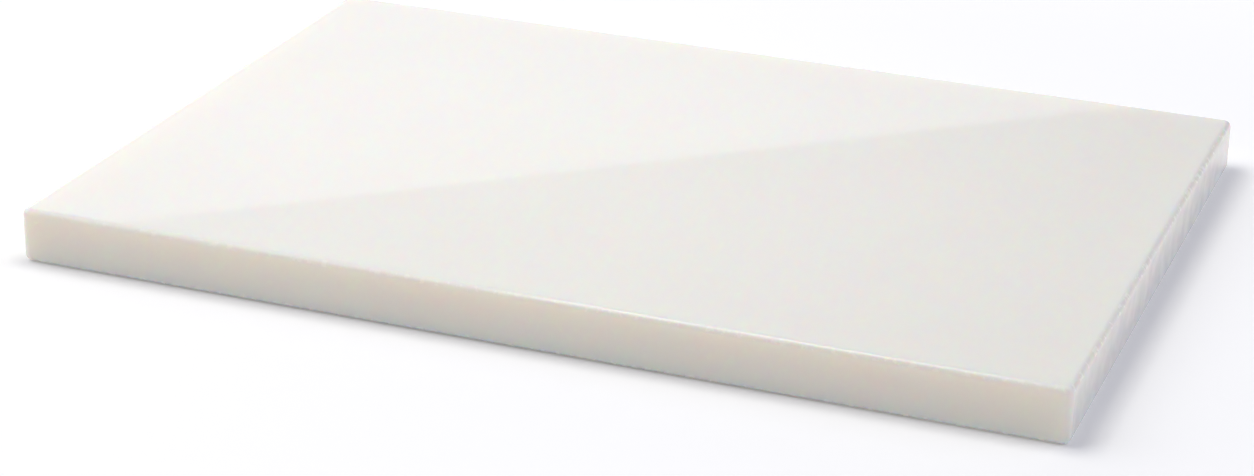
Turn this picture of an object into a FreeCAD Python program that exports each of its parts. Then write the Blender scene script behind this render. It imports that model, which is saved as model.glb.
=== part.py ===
"""Cutting board: one solid slab of polyethylene with rounded corners and eased edges.

Lengths are in millimetres and +Z is up. The origin is the centre of the underside, +X runs
along the board's length and +Y across its depth.
"""
import FreeCAD, Part
import os

LENGTH = 380.0          # along X
DEPTH = 265.0           # along Y
THICKNESS = 20.0        # along Z, the thickness of the sheet that the board is cut from
CORNER_RADIUS = 3.0     # upright corners, seen from above
EDGE_RADIUS = 2.5       # easing all round, where each flat face meets the sides

SAME_PLACE = 1e-6       # two coordinates closer than this are the same


def is_upright(edge):
    """True for an edge that runs straight up, such as a corner of the blank."""
    box = edge.BoundBox
    return box.XLength < SAME_PLACE and box.YLength < SAME_PLACE


def lies_on_flat_face(edge, heights):
    """True for an edge that lies in one of the board's two flat faces."""
    box = edge.BoundBox
    return box.ZLength < SAME_PLACE and any(abs(box.ZMin - z) < SAME_PLACE for z in heights)


def sawn_blank():
    """The square-edged piece that is cut from the sheet."""
    low_corner = FreeCAD.Vector(-LENGTH / 2, -DEPTH / 2, 0)
    return Part.makeBox(LENGTH, DEPTH, THICKNESS, low_corner)


def round_corners(blank):
    """The four upright corners, rounded to CORNER_RADIUS."""
    corners = [edge for edge in blank.Edges if is_upright(edge)]
    return blank.makeFillet(CORNER_RADIUS, corners)


def ease_edges(slab):
    """The rims of both flat faces, rounded to EDGE_RADIUS so that nothing is sharp to hold."""
    rims = [edge for edge in slab.Edges if lies_on_flat_face(edge, (0, THICKNESS))]
    return slab.makeFillet(EDGE_RADIUS, rims)


def board():
    """The finished board, the object's only piece."""
    return ease_edges(round_corners(sawn_blank()))


PIECES = {"board": board}

os.makedirs("parts", exist_ok=True)
for name, make_piece in PIECES.items():
    shape = make_piece()
    if not shape.isValid() or len(shape.Solids) != 1:
        raise ValueError(f"{name} is not one valid solid")
    shape.exportStep(f"parts/{name}.step")
    print(f"{name}: {shape.Volume / 1000:.1f} cm3")
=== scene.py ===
"""The looks of the cutting board: a slab of white polyethylene on a pale studio floor.

Everything is in metres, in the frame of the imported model: +X along the board's length, +Y across
its depth, +Z up, and the floor at z = 0. Azimuths and elevations are in degrees.
"""

import math

import bmesh
import bpy
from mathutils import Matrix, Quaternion, Vector


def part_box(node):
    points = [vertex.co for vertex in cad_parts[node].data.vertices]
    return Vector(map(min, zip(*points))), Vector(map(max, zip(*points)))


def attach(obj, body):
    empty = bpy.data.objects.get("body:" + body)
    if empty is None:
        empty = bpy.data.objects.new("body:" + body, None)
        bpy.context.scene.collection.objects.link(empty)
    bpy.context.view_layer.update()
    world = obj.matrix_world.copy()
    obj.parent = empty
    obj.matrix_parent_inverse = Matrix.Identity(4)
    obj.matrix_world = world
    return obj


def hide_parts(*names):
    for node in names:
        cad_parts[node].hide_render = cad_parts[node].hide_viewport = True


MM = 0.001
WHITE = (1.0, 1.0, 1.0, 1)

# The board. Its overall size comes from the frame; the radii are those of the CAD model.
CORNER_RADIUS = 3.0 * MM       # upright corners, seen from above
EDGE_RADIUS = 2.5 * MM         # rims of both flat faces
CORNER_STEPS = 16              # faces round a quarter turn of a corner, an even number
EDGE_STEPS = 10                # faces from a flat face round to the side
SIDE_STEPS = 6                 # faces up the straight part of a side
CELL = 5.0 * MM                # faces along the straights and over the flat faces
BOARD = "board_slab"

# The camera: where it stands, the point that it looks at, and how far it leans over.
CAMERA_AT = Vector((0.3627, -0.9873, 0.4284))
CAMERA_LOOKS_AT = Vector((-0.0064, -0.0103, -0.0076))
CAMERA_LEAN = math.radians(1.015)
LENS_MM = 87.3
SENSOR_MM = 36.0
NEAREST_SEEN = 0.01
FARTHEST_SEEN = 100.0

# The floor, a square with the board at its middle.
FLOOR_SIZE = 12.0
FLOOR_WHITE = (0.95, 0.95, 0.95, 1)
FLOOR_GLOW = (0.10, 0.50)        # how much the floor itself glows near the board and far from it
FLOOR_GLOW_REACH = (0.1, 0.9)    # how far from the board's middle the glow starts and stops growing

# The studio is turned with the camera, which stands this far round the board to the right. In it,
# azimuth 0 is straight back from the camera and 90 is to the left.
STUDIO_TURN = math.radians(20.7)

# Light from the walls: azimuth and elevation of the wall's middle, and its brightness.
WALLS = {
    "back_wall": (35, 0, (1.30, 1.30, 1.36)),
    "front_wall": (180, 0, (0.23, 0.18, 0.18)),
    "right_wall": (270, 0, (0.34, 0.36, 0.56)),
}
WALL_FADING = 2.0    # power of the cosine of the angle from the wall's middle

# Large windows far away: azimuth, elevation, how wide they look, strength and colour.
WINDOWS = {
    "left_window": (80, 50, 50, 0.81, (0.97, 1.0, 1.06)),
    "right_window": (275, 50, 50, 0.68, (0.97, 1.0, 1.08)),
}

# Soft lights close by: azimuth, elevation, distance, width and height, watts and colour.
SOFTBOXES = {
    "overhead": (69, 82, 0.68, (0.32, 0.32), 1.72, (1.0, 0.97, 0.89)),
    "spark": (120, 60, 1.0, (0.15, 0.12), 0.30, (1.0, 1.0, 1.0)),
}

# The upright reflector behind the board.
REFLECTOR_AZIMUTH = 20.1
REFLECTOR_DISTANCE = 1.2
REFLECTOR_OFFSET = 0.45        # how far its middle stands to the right
REFLECTOR_TOP = 0.517          # height of its top edge
REFLECTOR_SIZE = (1.3, 0.4)    # width and height
REFLECTOR_WATTS = 0.62
REFLECTOR_COLOUR = (0.97, 0.97, 1.06)

# Polyethylene: its colours, and how light bends, sinks in and spreads.
IVORY_LIGHT = (0.872, 0.864, 0.808, 1)
IVORY_DARK = (0.862, 0.853, 0.792, 1)
# The whiter colour of the rims, a painted sheen.
RIM_SHEEN_WHITE = (0.878, 0.870, 0.822, 1)
REFRACTIVE_INDEX = 1.5
LIGHT_SPREAD = 18 * MM                  # how far red light travels inside
LIGHT_SPREAD_SHARES = (1.0, 0.5, 0.25)  # red, green and blue, as shares of that

# Where each kind of surface starts and is complete, as the height of the surface's normal: 1 on a
# flat face, 0 on a side, and between them on a rim.
FLAT_FROM = 0.90
FLAT_FULL = 0.999
SIDE_FROM = 0.40
SIDE_FULL = 0.02

# Sizes of the marks in the plastic, along each axis, and how many finer layers each one has.
CLOUD_SIZE = (60 * MM,) * 3
CLOUD_DETAIL = 3.0
MOTTLE_SIZE = (6 * MM,) * 3
MOTTLE_DETAIL = 2.0
DRAW_LINE_SIZE = (120 * MM, 1.6 * MM, 20 * MM)
DRAW_LINE_DETAIL = 2.0
CUTTER_PATCH_SIZE = (9 * MM,) * 3
CUTTER_PATCH_DETAIL = 2.0
CUTTER_PITCH = 1.3 * MM    # from one cutter mark to the next
# Scraping on the rims, whose patches also place the painted sheen that whitens them.
SCRAPING_AND_SHEEN_SIZE = (3 * MM,) * 3
SCRAPING_AND_SHEEN_DETAIL = 4.0

# How deep the marks are.
DRAW_LINE_DEPTH = 0.0004 * MM
CUTTER_DEPTH = 0.0015 * MM
SCRAPING_DEPTH = 0.005 * MM

# The values that noise seldom goes below and above.
NOISE_RANGE = (0.3, 0.7)

# How much each kind of mark counts in the tint.
TINT_SHARES = {"clouds": 0.6, "mottle": 0.25, "draw_lines": 0.15}

# Roughness of each kind of surface: the mark that it follows, and its lowest and highest value.
ROUGHNESS = {
    "flat": ("clouds", (0.018, 0.028)),
    "side": ("cutter_patches", (0.16, 0.26)),
    "rim": ("scraping_and_sheen", (0.18, 0.30)),
}


def add_object(name, data):
    """A new object of the scene that shows the given data."""
    thing = bpy.data.objects.new(name, data)
    bpy.context.scene.collection.objects.link(thing)
    return thing


# ---------------------------------------------------------------- geometry

def arc(centre, radius, start, end, steps):
    """Points round part of a circle, both ends included."""
    angles = [start + (end - start) * i / steps for i in range(steps + 1)]
    return [centre + radius * Vector((math.cos(a), math.sin(a))) for a in angles]


def line(start, end, steps):
    """Points between two ends, neither included."""
    return [start.lerp(end, i / steps) for i in range(1, steps)]


def board_side(half, radius, steps):
    """One side of a rounded rectangle, from the middle of one corner to the middle of the next.

    It is the side that faces -Y of a rectangle with these half sizes."""
    steps_each = CORNER_STEPS // 2
    south = math.radians(270)
    half_corner = math.radians(45)
    left_centre = Vector((-half.x + radius, -half.y + radius))
    right_centre = Vector((half.x - radius, -half.y + radius))
    left = arc(left_centre, radius, south - half_corner, south, steps_each)
    right = arc(right_centre, radius, south, south + half_corner, steps_each)
    return left + line(left[-1], right[0], steps) + right


def turned(points, quarter_turns):
    """Points of a side, turned about the centre into the place of a later side."""
    for _ in range(quarter_turns):
        points = [Vector((-p.y, p.x)) for p in points]
    return points


def four_sides(half, radius, steps_x, steps_y):
    """The four sides of a rounded rectangle, in order round it: -Y, +X, +Y, -X."""
    across = Vector((half.y, half.x))
    return [
        turned(board_side(half, radius, steps_x), 0),
        turned(board_side(across, radius, steps_y), 1),
        turned(board_side(half, radius, steps_x), 2),
        turned(board_side(across, radius, steps_y), 3),
    ]


def outline(sides):
    """The sides joined into one closed ring of points."""
    return [p for side in sides for p in side[:-1]]


def profile(thickness):
    """(inset, height) pairs up the side of the board, from the underside's rim to the top's."""
    r = EDGE_RADIUS
    quarter = [math.pi / 2 * i / EDGE_STEPS for i in range(EDGE_STEPS + 1)]
    lower = [(r - r * math.sin(a), r - r * math.cos(a)) for a in quarter]
    straight = thickness - 2 * r
    middle = [(0.0, r + straight * i / SIDE_STEPS) for i in range(1, SIDE_STEPS)]
    upper = [(inset, thickness - z) for inset, z in reversed(lower)]
    return lower + middle + upper


def flat_face(mesh, sides, ring, z, upwards):
    """Fills a ring with a grid of four-sided faces that meets it point for point."""
    south, east, north, west = sides
    north = north[::-1]
    west = west[::-1]
    columns = len(south) - 1
    rows = len(east) - 1

    def inner(i, j):
        """The point in column i, row j of a patch stretched between the four sides."""
        u = i / columns
        v = j / rows
        between = south[i].lerp(north[i], v) + west[j].lerp(east[j], u)
        corners = south[0].lerp(south[-1], u).lerp(north[0].lerp(north[-1], u), v)
        return mesh.verts.new((*(between - corners), z))

    grid = [[None] * (rows + 1) for _ in range(columns + 1)]
    around = (
        [(i, 0) for i in range(columns)]
        + [(columns, j) for j in range(rows)]
        + [(i, rows) for i in range(columns, 0, -1)]
        + [(0, j) for j in range(rows, 0, -1)]
    )
    for (i, j), vert in zip(around, ring):
        grid[i][j] = vert
    for i in range(1, columns):
        for j in range(1, rows):
            grid[i][j] = inner(i, j)
    for i in range(columns):
        for j in range(rows):
            cell = [grid[i][j], grid[i + 1][j], grid[i + 1][j + 1], grid[i][j + 1]]
            mesh.faces.new(cell if upwards else cell[::-1])


def make_board(low, high):
    """The slab: rounded corners, eased rims and flat faces, all in four-sided faces."""
    size = high - low
    half = Vector((size.x / 2, size.y / 2))
    steps_x = round(size.x / CELL)
    steps_y = round(size.y / CELL)
    mesh = bmesh.new()
    rings = []
    for inset, height in profile(size.z):
        inner = half - Vector((inset, inset))
        sides = four_sides(inner, CORNER_RADIUS - inset, steps_x, steps_y)
        ring = [mesh.verts.new((p.x, p.y, low.z + height)) for p in outline(sides)]
        rings.append((sides, ring))
    for (_, below), (_, above) in zip(rings, rings[1:]):
        for i in range(len(below)):
            j = (i + 1) % len(below)
            mesh.faces.new((below[i], below[j], above[j], above[i]))
    flat_face(mesh, *rings[0], low.z, upwards=False)
    flat_face(mesh, *rings[-1], high.z, upwards=True)
    for face in mesh.faces:
        face.smooth = True
    data = bpy.data.meshes.new(BOARD)
    mesh.to_mesh(data)
    mesh.free()
    return add_object(BOARD, data)


# ---------------------------------------------------------------- materials

class Nodes:
    """A node tree of a material or world, with short ways to add and join nodes."""

    def __init__(self, owner):
        owner.use_nodes = True
        self.tree = owner.node_tree

    def add(self, kind, **settings):
        """A new node with these settings."""
        node = self.tree.nodes.new(kind)
        for name, value in settings.items():
            setattr(node, name, value)
        return node

    def join(self, source, target):
        """Feeds a socket from another socket, or sets it to a plain value."""
        if isinstance(source, bpy.types.NodeSocket):
            self.tree.links.new(source, target)
        else:
            target.default_value = source

    def math(self, operation, *operands):
        """The result of arithmetic on sockets and plain numbers."""
        node = self.add("ShaderNodeMath", operation=operation)
        for operand, socket in zip(operands, node.inputs):
            self.join(operand, socket)
        return node.outputs[0]

    def vector(self, operation, *operands):
        """A vector node, whose result is its first output, or "Value" where that is a number."""
        node = self.add("ShaderNodeVectorMath", operation=operation)
        for operand, socket in zip(operands, node.inputs):
            self.join(operand, socket)
        return node

    def split(self, vector):
        """The x, y and z of a vector socket."""
        node = self.add("ShaderNodeSeparateXYZ")
        self.join(vector, node.inputs[0])
        return node.outputs

    def noise(self, place, size, detail):
        """Cloudy noise from 0 to 1, whose blotches are about as large as size along each axis."""
        node = self.add("ShaderNodeTexNoise")
        self.join(self.vector("DIVIDE", place, size).outputs[0], node.inputs["Vector"])
        node.inputs["Scale"].default_value = 1.0
        node.inputs["Detail"].default_value = detail
        return node.outputs["Fac"]

    def ramp(self, value, low, high, start, end):
        """Goes smoothly from start to end as the value goes from low to high."""
        node = self.add("ShaderNodeMapRange", interpolation_type="SMOOTHSTEP")
        for socket, setting in zip(node.inputs, (value, low, high, start, end)):
            self.join(setting, socket)
        return node.outputs[0]

    def blend(self, factor, first, second):
        """A colour between two others: the first where the factor is 0, the second where it is 1."""
        node = self.add("ShaderNodeMix", data_type="RGBA")
        for name, setting in (("Factor_Float", factor), ("A_Color", first), ("B_Color", second)):
            socket = next(s for s in node.inputs if s.identifier == name)
            self.join(setting, socket)
        return next(s for s in node.outputs if s.identifier == "Result_Color")


def surface_kinds(nodes, facing):
    """How far a point lies on a flat face, on a side or on a rim; the three add up to 1."""
    height = nodes.split(facing)[2]
    flat = nodes.ramp(height, FLAT_FROM, FLAT_FULL, 0.0, 1.0)
    side = nodes.ramp(height, SIDE_FULL, SIDE_FROM, 1.0, 0.0)
    rim = nodes.math("SUBTRACT", nodes.math("SUBTRACT", 1.0, flat), side)
    return {"flat": flat, "side": side, "rim": rim}


def plastic_marks(nodes, place):
    """The blotches and streaks that the plastic's tint, roughness and relief follow."""
    return {
        "clouds": nodes.noise(place, CLOUD_SIZE, CLOUD_DETAIL),
        "mottle": nodes.noise(place, MOTTLE_SIZE, MOTTLE_DETAIL),
        "draw_lines": nodes.noise(place, DRAW_LINE_SIZE, DRAW_LINE_DETAIL),
        "cutter_patches": nodes.noise(place, CUTTER_PATCH_SIZE, CUTTER_PATCH_DETAIL),
        "scraping_and_sheen": nodes.noise(place, SCRAPING_AND_SHEEN_SIZE, SCRAPING_AND_SHEEN_DETAIL),
    }


def plastic_colour(nodes, kinds, marks):
    """Ivory with a faint tint, and whiter in patches on the rims, a painted sheen."""
    tint = 0.0
    for name, share in TINT_SHARES.items():
        tint = nodes.math("MULTIPLY_ADD", marks[name], share, tint)
    body = nodes.blend(nodes.ramp(tint, *NOISE_RANGE, 0.0, 1.0), IVORY_DARK, IVORY_LIGHT)
    # Painted sheen: the rims whiter in patches.
    rim_sheen = nodes.math("MULTIPLY", kinds["rim"], marks["scraping_and_sheen"])
    return nodes.blend(rim_sheen, body, RIM_SHEEN_WHITE)


def plastic_roughness(nodes, kinds, marks):
    """Smooth flat faces, and rougher sides and rims."""
    roughness = 0.0
    for kind, (mark, limits) in ROUGHNESS.items():
        here = nodes.ramp(marks[mark], *NOISE_RANGE, *limits)
        roughness = nodes.math("MULTIPLY_ADD", kinds[kind], here, roughness)
    return roughness


def plastic_relief(nodes, kinds, marks, place, facing):
    """Draw lines along the flat faces, cutter marks across the sides, and scraper marks on the rims.
    """
    x, y, _ = nodes.split(place)
    facing_x, facing_y, _ = nodes.split(facing)
    along_side = nodes.math("MULTIPLY_ADD", x, facing_y, nodes.math("MULTIPLY", y, facing_x))
    waves = nodes.math("SINE", nodes.math("DIVIDE", along_side, CUTTER_PITCH / math.tau))
    cutter_marks = nodes.math("MULTIPLY", waves, marks["cutter_patches"])
    depths = {
        "flat": nodes.math("MULTIPLY", marks["draw_lines"], DRAW_LINE_DEPTH),
        "side": nodes.math("MULTIPLY", cutter_marks, CUTTER_DEPTH),
        "rim": nodes.math("MULTIPLY", marks["scraping_and_sheen"], SCRAPING_DEPTH),
    }
    relief = 0.0
    for kind, depth in depths.items():
        relief = nodes.math("MULTIPLY_ADD", kinds[kind], depth, relief)
    bump = nodes.add("ShaderNodeBump")
    bump.inputs["Distance"].default_value = 1.0
    nodes.join(relief, bump.inputs["Height"])
    return bump.outputs[0]


def polyethylene():
    """Milky white plastic: light sinks in and comes out again some millimetres away.

    The flat faces keep the skin of the sheet, smooth with faint draw lines along it. The sides
    are planed, with cutter marks across them, and the rims are rounded by hand with a scraper."""
    material = bpy.data.materials.new("polyethylene")
    nodes = Nodes(material)
    shader = nodes.tree.nodes["Principled BSDF"]
    surface = nodes.add("ShaderNodeTexCoord")
    place = surface.outputs["Object"]
    facing = nodes.vector("ABSOLUTE", surface.outputs["Normal"]).outputs[0]
    kinds = surface_kinds(nodes, facing)
    marks = plastic_marks(nodes, place)
    nodes.join(plastic_colour(nodes, kinds, marks), shader.inputs["Base Color"])
    nodes.join(plastic_roughness(nodes, kinds, marks), shader.inputs["Roughness"])
    nodes.join(plastic_relief(nodes, kinds, marks, place, facing), shader.inputs["Normal"])
    shader.subsurface_method = "RANDOM_WALK"
    shader.inputs["IOR"].default_value = REFRACTIVE_INDEX
    shader.inputs["Subsurface Weight"].default_value = 1.0
    shader.inputs["Subsurface Radius"].default_value = LIGHT_SPREAD_SHARES
    shader.inputs["Subsurface Scale"].default_value = LIGHT_SPREAD
    return material


def pale_floor():
    """Matt white studio floor, which glows more the farther it is from the board."""
    material = bpy.data.materials.new("pale_floor")
    nodes = Nodes(material)
    shader = nodes.tree.nodes["Principled BSDF"]
    place = nodes.add("ShaderNodeTexCoord").outputs["Object"]
    distance = nodes.vector("LENGTH", place).outputs["Value"]
    glow = nodes.ramp(distance, *FLOOR_GLOW_REACH, *FLOOR_GLOW)
    nodes.join(glow, shader.inputs["Emission Strength"])
    shader.inputs["Emission Color"].default_value = WHITE
    shader.inputs["Base Color"].default_value = FLOOR_WHITE
    shader.inputs["Roughness"].default_value = 1.0
    shader.inputs["Specular IOR Level"].default_value = 0.0
    return material


# ---------------------------------------------------------------- studio

def make_floor():
    """One large square, which is part of the studio and not of the board."""
    half = FLOOR_SIZE / 2
    corners = [(-half, -half, 0), (half, -half, 0), (half, half, 0), (-half, half, 0)]
    data = bpy.data.meshes.new("floor")
    data.from_pydata(corners, [], [(0, 1, 2, 3)])
    floor = add_object("floor", data)
    floor.data.materials.append(pale_floor())


def make_camera():
    """The camera of the photograph."""
    data = bpy.data.cameras.new("camera")
    data.lens = LENS_MM
    data.sensor_width = SENSOR_MM
    data.clip_start = NEAREST_SEEN
    data.clip_end = FARTHEST_SEEN
    camera = add_object("camera", data)
    camera.location = CAMERA_AT
    aim = (CAMERA_LOOKS_AT - CAMERA_AT).to_track_quat("-Z", "Y")
    lean = Quaternion((0, 0, 1), CAMERA_LEAN)
    camera.rotation_mode = "QUATERNION"
    camera.rotation_quaternion = aim @ lean
    bpy.context.scene.camera = camera


def studio_direction(azimuth, elevation):
    """A direction in the studio, in degrees: azimuth 0 is straight back, 90 is to the left."""
    turn = math.radians(azimuth) + STUDIO_TURN
    rise = math.radians(elevation)
    level = math.cos(rise)
    return Vector((-math.sin(turn) * level, math.cos(turn) * level, math.sin(rise)))


def make_light(kind, name, aim, strength, colour):
    """A light that shines along aim."""
    data = bpy.data.lights.new(name, kind)
    data.energy = strength
    data.color = colour
    light = add_object(name, data)
    light.rotation_mode = "QUATERNION"
    light.rotation_quaternion = aim.to_track_quat("-Z", "Y")
    return light


def make_panel(name, place, aim, size, watts, colour):
    """A rectangular soft light, which the camera doesn't see."""
    panel = make_light("AREA", name, aim, watts, colour)
    panel.data.shape = "RECTANGLE"
    panel.data.size, panel.data.size_y = size
    panel.location = place
    panel.visible_camera = False


def make_windows():
    """Broad light from far away, whose shadows have wide soft edges."""
    for name, (azimuth, elevation, width, strength, colour) in WINDOWS.items():
        window = make_light("SUN", name, -studio_direction(azimuth, elevation), strength, colour)
        window.data.angle = math.radians(width)


def make_softboxes():
    """Panels that face the middle of the board from close by."""
    for name, (azimuth, elevation, distance, size, watts, colour) in SOFTBOXES.items():
        towards = studio_direction(azimuth, elevation)
        make_panel(name, towards * distance, -towards, size, watts, colour)


def make_reflector():
    """An upright panel behind the board, whose straight top edge the board reflects."""
    towards = studio_direction(REFLECTOR_AZIMUTH, 0)
    to_the_right = Vector((towards.y, -towards.x, 0))
    middle = towards * REFLECTOR_DISTANCE + to_the_right * REFLECTOR_OFFSET
    middle.z = REFLECTOR_TOP - REFLECTOR_SIZE[1] / 2
    make_panel("reflector", middle, -towards, REFLECTOR_SIZE, REFLECTOR_WATTS, REFLECTOR_COLOUR)


def make_world():
    """Pale walls: each lights the board from its own side. The camera sees plain white instead."""
    world = bpy.data.worlds.new("studio")
    nodes = Nodes(world)
    background = nodes.tree.nodes["Background"]
    view = nodes.add("ShaderNodeTexCoord").outputs["Generated"]
    light = (0.0, 0.0, 0.0)
    for name, (azimuth, elevation, colour) in WALLS.items():
        wall = nodes.vector("DOT_PRODUCT", view, studio_direction(azimuth, elevation))
        cosine = nodes.math("MAXIMUM", wall.outputs["Value"], 0.0)
        glow = nodes.vector("SCALE", colour)
        glow.label = name
        nodes.join(nodes.math("POWER", cosine, WALL_FADING), glow.inputs["Scale"])
        light = nodes.vector("ADD", light, glow.outputs[0]).outputs[0]
    seen_directly = nodes.add("ShaderNodeLightPath").outputs["Is Camera Ray"]
    nodes.join(nodes.blend(seen_directly, light, WHITE), background.inputs["Color"])
    bpy.context.scene.world = world


# ---------------------------------------------------------------- the scene

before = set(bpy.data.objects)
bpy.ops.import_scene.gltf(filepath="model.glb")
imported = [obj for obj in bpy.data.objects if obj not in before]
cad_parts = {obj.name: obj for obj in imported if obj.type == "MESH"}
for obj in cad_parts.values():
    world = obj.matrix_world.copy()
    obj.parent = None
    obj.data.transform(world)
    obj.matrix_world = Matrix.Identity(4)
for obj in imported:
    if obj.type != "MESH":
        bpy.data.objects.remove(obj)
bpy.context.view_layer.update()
bpy.context.scene.view_settings.view_transform = "Standard"

make_camera()
make_floor()
make_world()
make_windows()
make_softboxes()
make_reflector()

slab = make_board(*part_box("board"))
slab.data.materials.append(polyethylene())
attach(slab, "root")
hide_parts("board")
